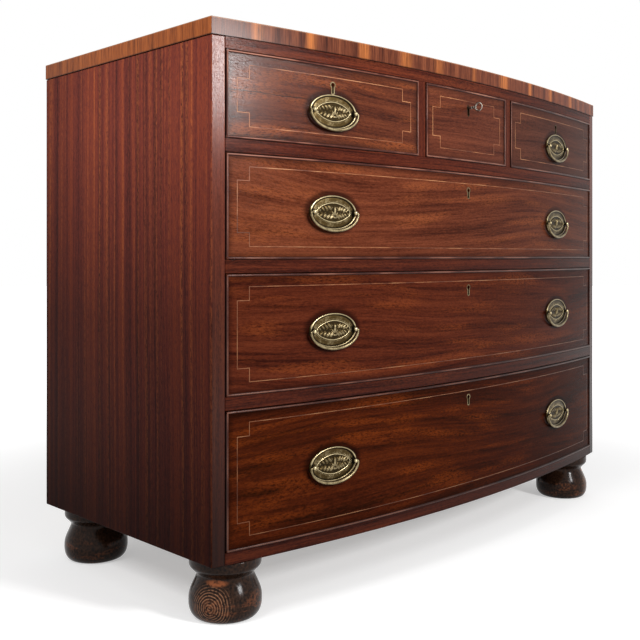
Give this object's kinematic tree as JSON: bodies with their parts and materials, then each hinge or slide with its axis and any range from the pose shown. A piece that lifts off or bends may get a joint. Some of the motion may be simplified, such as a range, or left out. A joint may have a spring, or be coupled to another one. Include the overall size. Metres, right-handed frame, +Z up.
{
  "type": "bow front chest of drawers",
  "caption": "Bow front mahogany chest of drawers, short drawers over long ones, with a crossbanded top edge, oval brass bail handles, a lock and key, and turned bun feet.",
  "frame": {"origin": "middle of the base of the bounding box, on the floor, with the drawers shut, the bails hanging and the key in its lock", "axes": "+X to the right of someone who faces the drawers, +Y to the back, +Z up"},
  "size_m": [1.111, 0.5696, 0.892],
  "materials": {
    "mahogany_case": "french polished, red brown",
    "mahogany_sides": "polished, upright grain",
    "mahogany_drawers": "french polished veneer with pale line inlay",
    "ebonised_feet": "ebonised, worn satin",
    "oak_linings": "dry, unfinished",
    "pine_boards": "dry, stained by age",
    "brass": "aged stamped brass",
    "iron": "worn iron"
  },
  "bodies": {
    "carcase": {"top_board": "mahogany_case", "side_left": "mahogany_sides", "side_right": "mahogany_sides", "top_rail": "mahogany_case", "divider_upper": "mahogany_case", "divider_middle": "mahogany_case", "divider_lower": "mahogany_case", "bottom_rail": "mahogany_case", "bottom_board": "pine_boards", "muntin_left": "mahogany_case", "muntin_right": "mahogany_case", "back_board_lower": "pine_boards", "back_board_upper": "pine_boards", "foot_front_left": "ebonised_feet", "foot_front_right": "ebonised_feet", "foot_back_left": "ebonised_feet", "foot_back_right": "ebonised_feet"},
    "drawer_top_left": {"drawer_top_left_front": "mahogany_drawers", "drawer_top_left_side_left": "oak_linings", "drawer_top_left_side_right": "oak_linings", "drawer_top_left_back_bottom": "oak_linings", "plate_top_left": "brass"},
    "drawer_top_middle": {"drawer_top_middle_front": "mahogany_drawers", "drawer_top_middle_side_left": "oak_linings", "drawer_top_middle_side_right": "oak_linings", "drawer_top_middle_back_bottom": "oak_linings", "lock_case": "brass"},
    "drawer_top_right": {"drawer_top_right_front": "mahogany_drawers", "drawer_top_right_side_left": "oak_linings", "drawer_top_right_side_right": "oak_linings", "drawer_top_right_back_bottom": "oak_linings", "plate_top_right": "brass"},
    "drawer_upper": {"drawer_upper_front": "mahogany_drawers", "drawer_upper_side_left": "oak_linings", "drawer_upper_side_right": "oak_linings", "drawer_upper_back_bottom": "oak_linings", "plate_upper_left": "brass", "plate_upper_right": "brass"},
    "drawer_middle": {"drawer_middle_front": "mahogany_drawers", "drawer_middle_side_left": "oak_linings", "drawer_middle_side_right": "oak_linings", "drawer_middle_back_bottom": "oak_linings", "plate_middle_left": "brass", "plate_middle_right": "brass"},
    "drawer_lower": {"drawer_lower_front": "mahogany_drawers", "drawer_lower_side_left": "oak_linings", "drawer_lower_side_right": "oak_linings", "drawer_lower_back_bottom": "oak_linings", "plate_lower_left": "brass", "plate_lower_right": "brass"},
    "bail_top_left": {"bail_top_left": "brass"},
    "bail_top_right": {"bail_top_right": "brass"},
    "bail_upper_left": {"bail_upper_left": "brass"},
    "bail_upper_right": {"bail_upper_right": "brass"},
    "bail_middle_left": {"bail_middle_left": "brass"},
    "bail_middle_right": {"bail_middle_right": "brass"},
    "bail_lower_left": {"bail_lower_left": "brass"},
    "bail_lower_right": {"bail_lower_right": "brass"},
    "lock_bolt": {"lock_bolt": "iron"},
    "key": {"key": "iron"}
  },
  "joints": [
    {"name": "drawer_top_left_slide", "type": "slide", "parent": "carcase", "child": "drawer_top_left", "axis": [0, -1, 0], "range_m": [0, 0.34]},
    {"name": "drawer_top_middle_slide", "type": "slide", "parent": "carcase", "child": "drawer_top_middle", "axis": [0, -1, 0], "range_m": [0, 0.34]},
    {"name": "drawer_top_right_slide", "type": "slide", "parent": "carcase", "child": "drawer_top_right", "axis": [0, -1, 0], "range_m": [0, 0.34]},
    {"name": "drawer_upper_slide", "type": "slide", "parent": "carcase", "child": "drawer_upper", "axis": [0, -1, 0], "range_m": [0, 0.34]},
    {"name": "drawer_middle_slide", "type": "slide", "parent": "carcase", "child": "drawer_middle", "axis": [0, -1, 0], "range_m": [0, 0.34]},
    {"name": "drawer_lower_slide", "type": "slide", "parent": "carcase", "child": "drawer_lower", "axis": [0, -1, 0], "range_m": [0, 0.34]},
    {"name": "bail_top_left_swing", "type": "hinge", "parent": "drawer_top_left", "child": "bail_top_left", "pos_m": [-0.33721, -0.24043, 0.77325], "axis": [-0.9936, 0.113, 0], "range_deg": [-1.5, 181.5]},
    {"name": "bail_top_right_swing", "type": "hinge", "parent": "drawer_top_right", "child": "bail_top_right", "pos_m": [0.33721, -0.24043, 0.77325], "axis": [-0.9936, -0.113, 0], "range_deg": [-1.5, 181.5]},
    {"name": "bail_upper_left_swing", "type": "hinge", "parent": "drawer_upper", "child": "bail_upper_left", "pos_m": [-0.33721, -0.24043, 0.61345], "axis": [-0.9936, 0.113, 0], "range_deg": [-1.5, 181.5]},
    {"name": "bail_upper_right_swing", "type": "hinge", "parent": "drawer_upper", "child": "bail_upper_right", "pos_m": [0.33721, -0.24043, 0.61345], "axis": [-0.9936, -0.113, 0], "range_deg": [-1.5, 181.5]},
    {"name": "bail_middle_left_swing", "type": "hinge", "parent": "drawer_middle", "child": "bail_middle_left", "pos_m": [-0.33721, -0.24043, 0.42675], "axis": [-0.9936, 0.113, 0], "range_deg": [-1.5, 181.5]},
    {"name": "bail_middle_right_swing", "type": "hinge", "parent": "drawer_middle", "child": "bail_middle_right", "pos_m": [0.33721, -0.24043, 0.42675], "axis": [-0.9936, -0.113, 0], "range_deg": [-1.5, 181.5]},
    {"name": "bail_lower_left_swing", "type": "hinge", "parent": "drawer_lower", "child": "bail_lower_left", "pos_m": [-0.33721, -0.24043, 0.21455], "axis": [-0.9936, 0.113, 0], "range_deg": [-1.5, 181.5]},
    {"name": "bail_lower_right_swing", "type": "hinge", "parent": "drawer_lower", "child": "bail_lower_right", "pos_m": [0.33721, -0.24043, 0.21455], "axis": [-0.9936, -0.113, 0], "range_deg": [-1.5, 181.5]},
    {"name": "lock_bolt_slide", "type": "slide", "parent": "drawer_top_middle", "child": "lock_bolt", "axis": [0, 0, 1], "range_m": [0, 0.006]},
    {"name": "key_turn", "type": "hinge", "parent": "drawer_top_middle", "child": "key", "pos_m": [0, -0.25, 0.816], "axis": [0, 1, 0], "range_deg": [0, 180]}
  ],
  "couplings": [
    {"joint": "key_turn", "follows": "lock_bolt_slide", "rad_per_m": 523.59}
  ]
}
